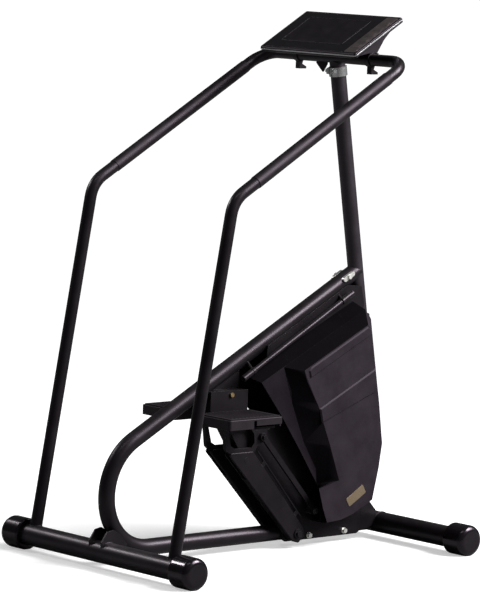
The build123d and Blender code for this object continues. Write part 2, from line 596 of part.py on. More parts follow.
rotor = cross_rod(ROTOR_AXIS, ROTOR_PULLEY_R + 4, BELT_X - 8, BELT_X + 8)
rotor = rotor - cross_ring(ROTOR_AXIS, ROTOR_PULLEY_R + 6, ROTOR_PULLEY_R, BELT_X - BELT_W / 2 - 0.5,
                           BELT_X + BELT_W / 2 + 0.5)
rotor = rotor + cross_rod(ROTOR_AXIS, 6.0, BELT_X, 12.0)
save(rotor, "alternator_pulley")
body = cross_rod(ROTOR_AXIS, 46.0, -3.0, PLATE_IN)
body = chamfer(body.edges().filter_by(GeomType.CIRCLE).sort_by(Axis.X)[0], 5)
body = body - cross_rod(ROTOR_AXIS, 7.0, -10, 14)
for i in range(8):
    turn = 2 * math.pi * (i + 0.5) / 8
    hole = (ROTOR_AXIS[0] + 30 * math.cos(turn), ROTOR_AXIS[1] + 30 * math.sin(turn))
    body = body - cross_rod(hole, 6, -10, 6)
body = body - mast_core
body = max(body.solids(), key=lambda s: s.volume)
save(body, "alternator_body")


def belt_loop(grow, x_from, x_to):
    """Solid around both pulleys, grown outward."""
    r1, r2 = WHEEL_R + grow, ROTOR_PULLEY_R + grow
    dy, dz = ROTOR_AXIS[0] - DRIVE_AXIS[0], ROTOR_AXIS[1] - DRIVE_AXIS[1]
    reach = math.hypot(dy, dz)
    heading = math.atan2(dz, dy)
    swing = math.acos((r1 - r2) / reach)
    corners = []
    for centre, radius, sign in ((DRIVE_AXIS, r1, 1), (ROTOR_AXIS, r2, 1), (ROTOR_AXIS, r2, -1), (DRIVE_AXIS, r1, -1)):
        turn = heading + sign * swing
        corners.append((centre[0] + radius * math.cos(turn), centre[1] + radius * math.sin(turn)))
    hull = prism(corners, x_from, x_to)
    return hull + cross_rod(DRIVE_AXIS, r1, x_from, x_to) + cross_rod(ROTOR_AXIS, r2, x_from, x_to)


belt = belt_loop(0.4 + BELT_T, BELT_X - BELT_W / 2, BELT_X + BELT_W / 2)
belt = belt - belt_loop(0.4, BELT_X - BELT_W / 2 - 1, BELT_X + BELT_W / 2 + 1)
save(belt, "drive_belt")

# ================= covers =================
SECTION_0 = [(480, 508), (880, 700), (944, 660), (992, 410), (1012, 290), (997, 222), (966, 126), (850, 88),
             (800, 76), (750, 72), (745, 110), (742, 167), (658, 289), (589, 385)]
SECTION_1F = [(504, 491), (893, 680), (917, 652), (961, 410), (980, 290), (970, 222), (948, 126), (850, 88),
              (800, 76), (750, 72), (745, 110), (742, 167), (658, 289), (589, 385)]
SECTION_1 = [(586, 530), (893, 680), (917, 652), (961, 410), (980, 290), (970, 222), (948, 126), (850, 88),
             (800, 76), (750, 72), (745, 110), (738, 176), (728, 186), (672, 310), (622, 425)]
SECTION_2 = [(634, 522), (874, 640), (886, 630), (929, 412), (947, 292), (937, 222), (916, 130), (842, 95),
             (796, 82), (742, 78), (725, 118), (706, 178), (783, 196), (742, 302), (690, 420)]


def slab(low_points, x_low, high_points, x_high):
    return loft([side_face(low_points, x_low), side_face(high_points, x_high)], ruled=True)


def blend(low_points, high_points, share):
    return [(a[0] + (b[0] - a[0]) * share, a[1] + (b[1] - a[1]) * share) for a, b in zip(low_points, high_points)]


core = slab(SECTION_0, COVER_X0, SECTION_1F, COVER_X1)
pod = slab(SECTION_1, COVER_X1, SECTION_2, COVER_X2)
in_0 = inset(SECTION_0, COVER_T)
in_1f = inset(SECTION_1F, COVER_T)
in_1 = inset(SECTION_1, COVER_T)
in_2 = inset(SECTION_2, COVER_T)
open_0 = list(in_0)
open_1f = list(in_1f)
for edge in (open_0, open_1f):
    edge[0] = (edge[0][0] - 60, edge[0][1] - 30)
    edge[13] = (edge[13][0] - 60, edge[13][1] - 30)
    edge[12] = (edge[12][0] - 60, edge[12][1] - 30)
    edge[11] = (edge[11][0] - 60, edge[11][1] - 20)
    edge[10] = (edge[10][0] - 60, edge[10][1])
    edge[9] = (edge[9][0] - 60, edge[9][1])
share_0 = -(COVER_T + 2) / (COVER_X1 - COVER_X0)
core_in = slab(blend(open_0, open_1f, share_0), COVER_X0 - COVER_T - 2, open_1f, COVER_X1 - COVER_T)
share_1 = -(COVER_T + 3) / (COVER_X2 - COVER_X1)
pod_in = slab(blend(in_1, in_2, share_1), COVER_X1 - COVER_T - 3, in_2, COVER_X2 - COVER_T)
cover = core + pod
cover = cover - core_in - pod_in
cover = max(cover.solids(), key=lambda s: s.volume)
RIB_BANDS = [[(660, 531), (872, 635), (884, 628), (889, 612), (656, 498), (650, 520)],
             [(696, 409), (908, 512), (916, 474), (917, 446), (707, 367)]]
for outline in RIB_BANDS:
    rib = prism(outline, COVER_X2 - 1, COVER_X2 + RIB_PROUD)
    rib = chamfer(rib.faces().sort_by(Axis.X)[-1].edges(), RIB_PROUD - 0.5)
    cover = cover + rib
cover = max(cover.solids(), key=lambda s: s.volume)
save(cover, "side_cover_right")
save(mirrored(cover), "side_cover_left")

# nose over the mast between the two side covers
nose_top = pt(mast_ahead(NOSE_TOP_Z), NOSE_TOP_Z)
nose_low = pt(mast_ahead(NOSE_LOW_Z), NOSE_LOW_Z)
nose = straight_rod(nose_low, nose_top, NOSE_R) - straight_rod(nose_low, nose_top, NOSE_R - NOSE_T)
lean = nose_top - nose_low
cutter = Plane(origin=nose_low, x_dir=(1, 0, 0), z_dir=lean) * Pos(0, 60, 0) * Rectangle(200, 120)
nose = nose & extrude(cutter, amount=lean.length)
nose = max(nose.solids(), key=lambda s: s.volume)
save(nose, "nose_cover")

BADGE = [(812, 140), (826, 117), (889, 154), (875, 178)]
badge = prism(BADGE, COVER_X2, COVER_X2 + 1.2)
badge = fillet(badge.edges().filter_by(Axis.X), 4)
save(badge, "blank_badge")

# ================= console =================
tilt = math.radians(CONSOLE_TILT)
up_slope = Vector(0, math.cos(tilt), math.sin(tilt))
console_origin = pt(*CONSOLE_LOW) + up_slope * (CONSOLE_D / 2)
console_plane = Plane(origin=console_origin, x_dir=(1, 0, 0), z_dir=Vector(0, -math.sin(tilt), math.cos(tilt)))


def tablet(width, depth, top, bottom, radius, x=0.0, y=0.0):
    """Rounded slab in the console's own plane, between two heights from its top face."""
    sketch = console_plane.offset(bottom) * Pos(x, y, 0) * RectangleRounded(width, depth, radius)
    return extrude(sketch, amount=top - bottom)


tablet_body = tablet(CONSOLE_W, CONSOLE_D, 0, -CONSOLE_LIP_T, 6)
tablet_body = chamfer(tablet_body.faces().sort_by(Axis.Z)[-1].edges(), 1.5)
belly_points = [(703, 1411), (862, 1503), (873, 1488), (843, 1458), (818, 1421), (786, 1419.5), (756, 1414),
                (718, 1406)]
half = CONSOLE_BODY_W / 2
belly = prism(belly_points, -half, half)
belly = fillet(belly.edges().filter_by(Axis.X).sort_by(Axis.Y)[-1], 5)
housing = tablet_body + belly
housing = housing - prism(inset(belly_points, 3.0), -half + 3, half - 3)
housing = housing - crossbar_core
CABLE_HOLE = (752.0, 1412.0)
housing = housing - Location(pt(*CABLE_HOLE)) * Cylinder(10, 24)
FACE_W = CONSOLE_W - 16
FACE_D = CONSOLE_D - 16
housing = housing - tablet(FACE_W, FACE_D, 1, -FACE_T, 4)
housing = max(housing.solids(), key=lambda s: s.volume)
save(housing, "console_housing")

KEYPAD_W = 46.0
window_w = FACE_W - KEYPAD_W - 0.6
save(tablet(window_w, FACE_D, 0, -FACE_T, 4, x=-(FACE_W - window_w) / 2), "console_window")
save(tablet(KEYPAD_W, FACE_D, 0.4, -FACE_T, 4, x=(FACE_W - KEYPAD_W) / 2), "console_keypad")
trim = tablet(CONSOLE_W + 2 * TRIM_T, CONSOLE_D + 2 * TRIM_T, -5, -8, 7.5)
trim = trim - tablet(CONSOLE_W, CONSOLE_D, 0, -12, 6)
save(trim, "console_trim")

clip = cross_ring(RAIL_TOP, RAIL_R + 3, RAIL_R, CLIP_X - 9, CLIP_X + 9)
hook = prism([(796, 1390), (812, 1390), (806, 1374), (822, 1366), (822, 1360), (796, 1360), (796, 1366)],
             CLIP_X - 9, CLIP_X + 9)
clip = clip + hook + box(CLIP_X - 9, CLIP_X + 9, 814, 822, 1400, 1420.5)
clip = clip - belly - cross_rod(RAIL_TOP, RAIL_R, CLIP_X - 20, CLIP_X + 20)
clip = max(clip.solids(), key=lambda s: s.volume)
save(both(clip), "console_clips")

# bright collar and tab under the crossbar
CLAMP_LOW_Z, CLAMP_TOP_Z = 1348.0, 1374.0
clamp_a = pt(mast_ahead(CLAMP_LOW_Z), CLAMP_LOW_Z)
clamp_b = pt(mast_ahead(CLAMP_TOP_Z), CLAMP_TOP_Z)
clamp = straight_rod(clamp_a, clamp_b, MAST_R + 4)
ear_ahead = mast_ahead(CLAMP_LOW_Z) - MAST_R - 14
clamp = clamp + box(-11, 11, ear_ahead, ear_ahead + 18, CLAMP_LOW_Z + 4, CLAMP_TOP_Z - 4)
clamp = clamp - straight_rod(clamp_a - (clamp_b - clamp_a), clamp_b + (clamp_b - clamp_a), MAST_R)
clamp = clamp - box(-2, 2, ear_ahead - 1, ear_ahead + 19, CLAMP_LOW_Z - 1, CLAMP_TOP_Z + 1)
ear_bolt = cross_rod((ear_ahead + 7, (CLAMP_LOW_Z + CLAMP_TOP_Z) / 2), 4.0, -16, 16)
ear_head = hex_head((ear_ahead + 7, (CLAMP_LOW_Z + CLAMP_TOP_Z) / 2), 13.0, 11, 18)
clamp = clamp + ear_bolt + ear_head + mirrored(ear_head)
save(clamp, "mast_clamp")
tab_points = [Vector(x, REAR_Y + RAIL_TOP[0] - 3, z) for x, z in ((-74, 1386), (-74, 1380), (-46, 1356), (-30, 1380),
                                                                 (-30, 1386))]
tab = extrude(Face(Wire.make_polygon(tab_points, close=True)), amount=6, dir=(0, 1, 0)) - crossbar_core
save(max(tab.solids(), key=lambda s: s.volume), "crossbar_tab")
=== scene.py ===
import json
import math

import bmesh
import bpy
from mathutils import Euler, Matrix, Vector
from mathutils.bvhtree import BVHTree


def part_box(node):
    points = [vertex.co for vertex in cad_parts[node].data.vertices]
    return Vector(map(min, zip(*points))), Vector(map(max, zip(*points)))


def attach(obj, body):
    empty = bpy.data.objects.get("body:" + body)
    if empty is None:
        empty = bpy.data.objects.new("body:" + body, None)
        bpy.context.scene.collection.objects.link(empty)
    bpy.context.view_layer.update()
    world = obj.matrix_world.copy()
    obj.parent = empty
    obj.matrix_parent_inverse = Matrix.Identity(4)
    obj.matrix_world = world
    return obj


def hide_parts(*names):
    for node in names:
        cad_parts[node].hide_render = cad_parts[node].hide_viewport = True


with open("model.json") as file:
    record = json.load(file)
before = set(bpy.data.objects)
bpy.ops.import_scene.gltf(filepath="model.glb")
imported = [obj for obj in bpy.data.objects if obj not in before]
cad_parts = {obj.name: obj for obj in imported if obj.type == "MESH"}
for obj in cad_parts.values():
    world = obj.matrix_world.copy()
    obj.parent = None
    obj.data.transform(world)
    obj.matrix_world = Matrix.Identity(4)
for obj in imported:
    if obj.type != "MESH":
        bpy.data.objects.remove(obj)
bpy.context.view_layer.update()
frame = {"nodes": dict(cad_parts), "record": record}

# Stair-stepping climber. Metres, +Z up, +Y the way the user faces, +X the user's right.
# Places come from the frame's boxes where a box gives them. The others are the machine's
# own sizes, each named just above the pieces that use it.

MM = 0.001
SIDES = {"right": 1.0, "left": -1.0}


# ================= materials =================

# A noise or cell scale is per metre, so 900 is a grain of about a millimetre.
# A bump's distance is in metres. Colours are linear red, green and blue.

COOL_HIGHLIGHT = (1.0, 0.80, 0.98, 1.0)
PLAIN_HIGHLIGHT = (1.0, 1.0, 1.0, 1.0)
METAL_SHARE = 0.85
DUST = (0.10, 0.094, 0.09)
SCUFFED_PLASTIC = (0.07, 0.066, 0.07)
SCUFFED_RUBBER = (0.055, 0.052, 0.05)

# sockets of the colour form of the Mix node
MIX_FIRST = 6
MIX_SECOND = 7
MIX_RESULT = 2


class Recipe:
    """A procedural material, built one node at a time around a Principled shader."""

    def __init__(self, name, roughness=0.5, metallic=0.0, specular=0.5, coat=0.0,
                 coat_roughness=0.1):
        self.material = bpy.data.materials.new(name)
        self.material.use_nodes = True
        self.tree = self.material.node_tree
        self.shader = self.tree.nodes["Principled BSDF"]
        self.shader.inputs["Roughness"].default_value = roughness
        self.shader.inputs["Metallic"].default_value = metallic
        self.shader.inputs["Specular IOR Level"].default_value = specular
        tint = COOL_HIGHLIGHT if metallic < 0.5 else PLAIN_HIGHLIGHT
        self.shader.inputs["Specular Tint"].default_value = tint
        self.shader.inputs["Coat Weight"].default_value = coat
        self.shader.inputs["Coat Roughness"].default_value = coat_roughness
        self.place = self.tree.nodes.new("ShaderNodeTexCoord").outputs["Object"]

    def node(self, kind, inputs=(), **settings):
        """A new node; an input is either a plain value or the socket that feeds it."""
        made = self.tree.nodes.new("ShaderNode" + kind)
        for key, value in settings.items():
            setattr(made, key, value)
        for key, value in dict(inputs).items():
            if isinstance(value, bpy.types.NodeSocket):
                self.tree.links.new(value, made.inputs[key])
            else:
                made.inputs[key].default_value = value
        return made

    def stretched(self, scale):
        return self.node("Mapping", {"Vector": self.place, "Scale": scale}).outputs["Vector"]

    def noise(self, scale, detail=3.0, rough=0.55, stretch=None):
        place = self.stretched(stretch) if stretch else self.place
        inputs = {"Vector": place, "Scale": scale, "Detail": detail, "Roughness": rough}
        return self.node("TexNoise", inputs).outputs["Fac"]

    def cells(self, scale):
        inputs = {"Vector": self.place, "Scale": scale}
        return self.node("TexVoronoi", inputs, feature="F1").outputs["Distance"]

    def remap(self, value, low, high, to_low=0.0, to_high=1.0):
        """Takes the range low to high to the range to_low to to_high, and clamps it there."""
        inputs = {"Value": value, "From Min": low, "From Max": high,
                  "To Min": to_low, "To Max": to_high}
        return self.node("MapRange", inputs).outputs["Result"]

    def maths(self, operation, a, b):
        return self.node("Math", {0: a, 1: b}, operation=operation).outputs["Value"]

    def mix(self, share, a, b):
        """A blend of two colours, each a plain colour or a socket; share is how much is b."""
        made = self.node("Mix", {"Factor": share}, data_type="RGBA")
        for socket, value in ((made.inputs[MIX_FIRST], a), (made.inputs[MIX_SECOND], b)):
            if isinstance(value, bpy.types.NodeSocket):
                self.tree.links.new(value, socket)
            else:
                socket.default_value = (*value, 1.0)
        return made.outputs[MIX_RESULT]

    def edges(self, radius):
        """1 along edges sharper than the bevel radius, 0 on open surfaces."""
        rounded = self.node("Bevel", {"Radius": radius}, samples=4).outputs["Normal"]
        plain = self.node("NewGeometry").outputs["Normal"]
        inputs = {0: rounded, 1: plain}
        dot = self.node("VectorMath", inputs, operation="DOT_PRODUCT").outputs["Value"]
        return self.remap(self.maths("SUBTRACT", 1.0, dot), 0.02, 0.2)

    def upward(self):
        """1 where the surface faces up."""
        normal = self.tree.nodes.new("ShaderNodeTexCoord").outputs["Normal"]
        height = self.node("SeparateXYZ", {"Vector": normal}).outputs["Z"]
        return self.remap(height, 0.55, 0.98)

    def bump(self, height, distance, strength, under=None):
        inputs = {"Height": height, "Distance": distance, "Strength": strength}
        if under is not None:
            inputs["Normal"] = under
        return self.node("Bump", inputs).outputs["Normal"]

    def finish(self, colour, roughness=None, normal=None):
        links = self.tree.links
        links.new(colour, self.shader.inputs["Base Color"])
        if roughness is not None:
            links.new(roughness, self.shader.inputs["Roughness"])
        if normal is not None:
            links.new(normal, self.shader.inputs["Normal"])
        return self.material


def powder_coat(name, dark, light, worn, roughness, specular=0.3, peel=1.0, wear=0.5):
    """Satin powder coat over steel: orange peel, faint clouding, rubbed edges and dust on top."""
    r = Recipe(name, roughness=roughness, specular=specular, coat=0.08, coat_roughness=0.22)
    clouds = r.noise(9.0, detail=5.0, rough=0.6)
    grain = r.noise(900.0, detail=2.0)
    colour = r.mix(r.remap(clouds, 0.35, 0.7), dark, light)
    patches = r.remap(r.noise(38.0, detail=6.0, rough=0.65), 0.42, 0.75, 0.0, 0.10)
    colour = r.mix(r.maths("MULTIPLY", r.upward(), patches), colour, DUST)
    rubs = r.remap(r.noise(120.0, detail=4.0, rough=0.7), 0.42, 0.62, 0.15, wear)
    colour = r.mix(r.maths("MULTIPLY", r.edges(1.4 * MM), rubs), colour, worn)
    rough = r.maths("ADD", r.remap(clouds, 0.3, 0.75, roughness - 0.06, roughness + 0.07),
                    r.remap(grain, 0.3, 0.7, -0.03, 0.03))
    peeled = r.bump(r.noise(330.0, detail=2.0, rough=0.5), 0.22 * MM * peel, 0.35)
    return r.finish(colour, rough, r.bump(grain, 0.05 * MM, 0.25, peeled))


def moulded_plastic(name, dark, light, roughness, specular=0.4, grain=620.0, depth=0.10,
                    coat=0.0, scuff=0.25):
    """Moulded plastic: leather-like grain, soft mottling, scuffed edges and fine scratches."""
    r = Recipe(name, roughness=roughness, specular=specular, coat=coat, coat_roughness=0.12)
    mottle = r.noise(14.0, detail=5.0, rough=0.6)
    colour = r.mix(r.remap(mottle, 0.35, 0.7), dark, light)
    marks = r.noise(60.0, detail=8.0, rough=0.7, stretch=(1.0, 9.0, 1.6))
    scratches = r.remap(marks, 0.60, 0.72, 0.0, 0.10)
    colour = r.mix(scratches, colour, SCUFFED_PLASTIC)
    rubs = r.remap(r.noise(80.0, detail=4.0, rough=0.7), 0.40, 0.65, 0.1, scuff)
    colour = r.mix(r.maths("MULTIPLY", r.edges(1.8 * MM), rubs), colour, SCUFFED_PLASTIC)
    rough = r.maths("ADD", r.remap(mottle, 0.3, 0.7, roughness - 0.05, roughness + 0.06),
                    r.remap(scratches, 0.0, 0.10, 0.0, 0.08))
    pebbled = r.bump(r.cells(grain), depth * MM, 0.4)
    return r.finish(colour, rough, r.bump(r.noise(45.0, detail=2.0), 0.5 * MM, 0.08, pebbled))


def rubber(name, dark, light, roughness, scale=700.0):
    """Matt rubber with a powdery bloom and a fine sandy skin."""
    r = Recipe(name, roughness=roughness, specular=0.25)
    bloom = r.noise(26.0, detail=6.0, rough=0.65)
    colour = r.mix(r.remap(bloom, 0.38, 0.68), dark, light)
    rubs = r.remap(r.noise(150.0), 0.4, 0.6, 0.1, 0.35)
    colour = r.mix(r.maths("MULTIPLY", r.edges(1.0 * MM), rubs), colour, SCUFFED_RUBBER)
    rough = r.remap(bloom, 0.3, 0.7, roughness - 0.08, roughness + 0.06)
    return r.finish(colour, rough, r.bump(r.noise(scale), 0.15 * MM, 0.5))


def bare_metal(name, dark, light, roughness, stretch=None, tarnish=(0.10, 0.09, 0.08),
               spots=0.25):
    """Bare or plated metal: directional marks, tarnish blotches and bright edges."""
    r = Recipe(name, roughness=roughness, metallic=METAL_SHARE)
    marks = r.noise(420.0, rough=0.6, stretch=stretch)
    colour = r.mix(r.remap(marks, 0.3, 0.7), dark, light)
    blotches = r.remap(r.noise(70.0, detail=6.0, rough=0.7), 0.55, 0.72, 0.0, spots)
    colour = r.mix(blotches, colour, tarnish)
    bright = tuple(min(1.0, c * 1.25) for c in light)
    colour = r.mix(r.maths("MULTIPLY", r.edges(0.8 * MM), 0.5), colour, bright)
    rough = r.maths("ADD", r.remap(marks, 0.3, 0.7, roughness - 0.06, roughness + 0.08),
                    r.remap(blotches, 0.0, spots, 0.0, 0.18))
    return r.finish(colour, rough, r.bump(marks, 0.06 * MM, 0.35))


def smoked_glass(name):
    """Smoked display window: deep gloss, faint smears and dust specks."""
    r = Recipe(name, roughness=0.16, specular=0.28, coat=0.12, coat_roughness=0.08)
    smears = r.noise(22.0, detail=6.0, rough=0.7, stretch=(1.0, 2.6, 1.0))
    colour = r.mix(r.remap(smears, 0.35, 0.75), (0.0040, 0.0034, 0.0042), (0.0072, 0.0062, 0.0074))
    specks = r.remap(r.cells(260.0), 0.0, 0.10, 0.30, 0.0)
    gathered = r.maths("MULTIPLY", specks, r.remap(smears, 0.45, 0.6))
    colour = r.mix(gathered, colour, (0.20, 0.19, 0.18))
    rough = r.remap(smears, 0.35, 0.75, 0.14, 0.26)
    return r.finish(colour, rough, r.bump(r.noise(9.0, detail=2.0), 0.4 * MM, 0.05))


def cloudy_film(name, dark, light):
    """Printed membrane film: faint clouding and a very fine tooth."""
    r = Recipe(name, roughness=0.42, specular=0.4)
    clouds = r.noise(30.0, detail=5.0, rough=0.6)
    colour = r.mix(r.remap(clouds, 0.35, 0.7), dark, light)
    rough = r.remap(clouds, 0.3, 0.7, 0.34, 0.5)
    return r.finish(colour, rough, r.bump(r.noise(1300.0, detail=2.0), 0.04 * MM, 0.5))


MATERIALS = {
    "frame_paint": powder_coat(
        "satin_black_powder_coat", (0.0052, 0.0044, 0.0052), (0.0088, 0.0076, 0.0088),
        (0.050, 0.046, 0.048), 0.36, specular=0.20),
    # the bracket and arm paints are darker copies of the frame paint: painted shade where the drive
    # brackets and the arms sit in shadow; their rubbed edges and peel are wear
    "drive_frame_paint": powder_coat(
        "bracket_paint_with_painted_shade", (0.0040, 0.0034, 0.0040), (0.0066, 0.0057, 0.0066),
        (0.055, 0.050, 0.052), 0.46, specular=0.16, peel=1.4, wear=0.6),
    "arm_paint": powder_coat(
        "worn_arm_paint_with_painted_shade", (0.0042, 0.0035, 0.0043), (0.0074, 0.0062, 0.0076),
        (0.060, 0.055, 0.058), 0.44, specular=0.14, peel=1.2, wear=0.8),
    "cap_plastic": moulded_plastic(
        "glossy_cap_vinyl", (0.0040, 0.0034, 0.0040), (0.0058, 0.0050, 0.0058), 0.20,
        specular=0.34, grain=240.0, depth=0.05, coat=0.10, scuff=0.12),
    "cover_plastic": moulded_plastic(
        "textured_cover_plastic", (0.0082, 0.0058, 0.0086), (0.0140, 0.0104, 0.0146), 0.50,
        specular=0.26, scuff=0.22),
    "pedal_plastic": moulded_plastic(
        "pedal_moulding", (0.0072, 0.0062, 0.0072), (0.0125, 0.0110, 0.0125), 0.54,
        specular=0.24, grain=500.0, depth=0.16, scuff=0.35),
    "console_plastic": moulded_plastic(
        "console_moulding", (0.0050, 0.0043, 0.0050), (0.0080, 0.0070, 0.0080), 0.44,
        specular=0.26, grain=900.0, depth=0.07, scuff=0.2),
    "grip_vinyl": rubber(
        "ribbed_grip_vinyl", (0.0052, 0.0045, 0.0052), (0.0090, 0.0078, 0.0090), 0.48, 380.0),
    "tread_rubber": rubber(
        "tread_rubber", (0.0040, 0.0035, 0.0041), (0.0085, 0.0075, 0.0084), 0.80),
    "belt_rubber": rubber("belt_rubber", (0.008, 0.0075, 0.008), (0.016, 0.015, 0.015), 0.62),
    "zinc_bolt": bare_metal("zinc_plate", (0.74, 0.73, 0.70), (0.92, 0.91, 0.87), 0.38, spots=0.15),
    "brass_bolt": bare_metal(
        "yellow_passivate", (0.20, 0.13, 0.06), (0.36, 0.25, 0.12), 0.42,
        tarnish=(0.08, 0.05, 0.03)),
    "dark_steel": bare_metal("oiled_steel", (0.055, 0.052, 0.054), (0.11, 0.105, 0.105), 0.42),
    "steel_drive": bare_metal(
        "machined_steel", (0.30, 0.30, 0.30), (0.48, 0.47, 0.46), 0.30, (1.0, 30.0, 30.0)),
    "bearing_iron": bare_metal(
        "cast_iron", (0.10, 0.098, 0.096), (0.18, 0.176, 0.17), 0.55, spots=0.5),
    "bronze_bush": bare_metal("sintered_bronze", (0.30, 0.19, 0.08), (0.46, 0.31, 0.15), 0.44),
    "pulley_alloy": bare_metal("cast_alloy", (0.42, 0.42, 0.42), (0.60, 0.60, 0.59), 0.42),
    "alternator_alloy": bare_metal(
        "cast_alternator_alloy", (0.36, 0.36, 0.35), (0.52, 0.52, 0.50), 0.50, spots=0.45),
    "spring_sleeve": powder_coat(
        "black_spring_sleeve", (0.0066, 0.0057, 0.0066), (0.0110, 0.0096, 0.0110),
        (0.080, 0.075, 0.078), 0.36, specular=0.24, wear=0.6),
    "spring_fitting": powder_coat(
        "black_spring_fitting", (0.0052, 0.0046, 0.0052), (0.0088, 0.0078, 0.0088),
        (0.11, 0.10, 0.10), 0.36, specular=0.24, wear=0.8),
    # painted shade on the side covers: a darker plastic for the strip behind the fin line, and a flat
    # black for the recessed wall, its upper edge and the pod's rear step, where the cover lies in
    # shade
    "fin_painted_shade": moulded_plastic(
        "painted_shade_cover_plastic", (0.0050, 0.0038, 0.0056), (0.0088, 0.0068, 0.0098), 0.56,
        specular=0.10),
    "recess_painted_shade": moulded_plastic(
        "painted_shade_recess", (0.0012, 0.0010, 0.0014), (0.0024, 0.0020, 0.0027), 0.78,
        specular=0.03, scuff=0.05),
    "badge_metal": bare_metal(
        "aged_brass_plate", (0.17, 0.13, 0.085), (0.30, 0.235, 0.155), 0.50, (1.0, 14.0, 1.0),
        spots=0.2),
    "trim_silver": bare_metal(
        "brushed_trim", (0.34, 0.34, 0.35), (0.52, 0.52, 0.53), 0.34, (40.0, 2.0, 2.0)),
    "clip_steel": powder_coat(
        "blackened_clip", (0.0042, 0.0036, 0.0042), (0.0070, 0.0062, 0.0070),
        (0.06, 0.055, 0.055), 0.42, specular=0.2, wear=0.6),
    "clamp_chrome": bare_metal(
        "chrome_plate", (0.44, 0.44, 0.45), (0.62, 0.62, 0.63), 0.20, spots=0.35),
    "console_glass": smoked_glass("smoked_window"),
    "keypad_film": cloudy_film("grey_keypad_film", (0.040, 0.033, 0.032), (0.056, 0.047, 0.045)),
    "display_tint": cloudy_film(
        "dark_display_tint", (0.0022, 0.0020, 0.0024), (0.0040, 0.0036, 0.0042)),
}

# lighter copies of the frame paint, matched by brightness: painted light on the mast and the rear base
# tube
PAINTED_LIGHT_NODE_MATERIALS = {
    "mast_tube": powder_coat(
        "painted_light_mast_powder_coat", (0.0130, 0.0112, 0.0132), (0.0210, 0.0184, 0.0214),
        (0.060, 0.056, 0.058), 0.38, specular=0.34),
    "rear_base_tube": powder_coat(
        "painted_light_base_powder_coat", (0.0100, 0.0086, 0.0100), (0.0165, 0.0143, 0.0165),
        (0.060, 0.056, 0.058), 0.40, specular=0.30),
}


# ================= pieces =================

RECORD = frame["record"]
SLOT_OF = {part["node"]: part["material_slot"] for part in RECORD["subparts"]}
BODY_OF = {node: body for body, nodes in RECORD["behaviour"]["bodies"].items() for node in nodes}
for name, node in frame["nodes"].items():
    node.data.materials.clear()
    node.data.materials.append(PAINTED_LIGHT_NODE_MATERIALS.get(name, MATERIALS[SLOT_OF[name]]))

NORMAL_WEIGHT = 60
SAME_POINT = 3e-6                   # points closer than this become one
FLAT_TURN = math.radians(0.4)       # faces that turn less than this become one
SHARP_TURN = math.radians(35.0)     # edges that turn more than this are rounded
ROUNDING_PROFILE = 0.55


def centre(name):
    low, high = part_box(name)
    return (Vector(low) + Vector(high)) / 2


def add_piece(name, shape, body, finish, stands_for=None):
    """A new smooth mesh object from a bmesh, riding on a body, with one finish."""
    mesh = bpy.data.meshes.new(name)
    shape.to_mesh(mesh)
    shape.free()
    for face in mesh.polygons:
        face.use_smooth = True
    made = bpy.data.objects.new(name, mesh)
    bpy.context.scene.collection.objects.link(made)
    made.data.materials.append(MATERIALS[finish])
    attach(made, body)
    if stands_for:
        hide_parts(stands_for)
    made.modifiers.new("weighted", "WEIGHTED_NORMAL").weight = NORMAL_WEIGHT
    return made


def refined(name, width, segments=2):
    """The CAD node's own shape with welded faces and its sharp edges rounded; width in mm."""
    shape = bmesh.new()
    shape.from_mesh(frame["nodes"][name].data)
    bmesh.ops.remove_doubles(shape, verts=shape.verts, dist=SAME_POINT)
    bmesh.ops.dissolve_limit(shape, angle_limit=FLAT_TURN, verts=shape.verts, edges=shape.edges)
    sharp = [edge for edge in shape.edges
             if len(edge.link_faces) == 2 and edge.calc_face_angle(0.0) > SHARP_TURN]
    if sharp:
        bmesh.ops.bevel(shape, geom=sharp, offset=width * MM, segments=segments,
                        profile=ROUNDING_PROFILE, affect="EDGES", clamp_overlap=True)
    return add_piece(name + "_fine", shape, BODY_OF[name], SLOT_OF[name], name)


# rounding of each CAD node's edges, in millimetres: nodes made once for each side, then the rest
SIDE_WIDTHS = {
    "pedal": 1.6, "pedal_tread": 0.55, "pedal_carrier": 0.9, "lower_arm": 1.0,
    "levelling_link": 0.9, "link_pin": 0.7, "pedal_bolts": 0.7, "carrier_pin": 0.5,
    "arm_edge_rod": 0.4,
}
SINGLE_WIDTHS = {
    "drive_plates": 0.9, "frame_gussets": 0.9, "stop_bracket": 1.2, "frame_bolts": 0.8,
    "stop_bolt": 0.8, "stop_bumpers": 1.6, "console_housing": 1.6, "console_window": 0.4,
    "console_keypad": 0.35, "console_clips": 0.9, "mast_clamp": 0.9, "crossbar_tab": 0.9,
    "blank_badge": 0.35, "nose_cover": 0.8, "spring_anchor": 0.8, "spring_collars": 0.7,
    "spring_end_fittings": 0.9, "spring_tubes": 0.6, "arm_pivot_shaft": 0.8,
    "link_pivot_shaft": 0.7, "link_spacers": 0.5, "shaft_collars": 0.7, "shaft_bearings": 1.2,
    "drive_wheel": 1.0, "alternator_body": 1.4, "alternator_pulley": 0.5, "drive_shaft": 0.8,
    "handrail_grips": 0.5, "console_trim": 0.25,
}
COVER_WIDTH = 1.8
COVER_SEGMENTS = 3

for stem, width in SIDE_WIDTHS.items():
    for side in SIDES:
        refined(stem + "_" + side, width)
for name, width in SINGLE_WIDTHS.items():
    refined(name, width)


# ---- side covers: painted shade, flat black on the stepped recess and darker on the strip behind the fin line ----

FIN_TOP = Vector((0.0, 0.0877, 0.516))
FIN_LOW = Vector((0.0, 0.218, 0.208))
RECESS_X = 0.070        # the recessed wall, out from the middle
POD_STEP_X = 0.1035     # how far out the pod's rear step carries painted shade
STRIP_DEPTH = 0.030     # how far in from the wall the strip of painted shade reaches
EDGE_DEPTH = 0.001      # how far in from the wall its top edge begins
WALL_PLAY = 0.002       # how far off the wall a face may be and still belong to it
SQUARE_ON = 0.9         # least share of a wall face's normal along X
TILTED = 0.3            # least share of an edge or step face's normal up or to the rear
PLAIN, PAINTED_SHADE, PAINTED_FIN_SHADE = range(3)


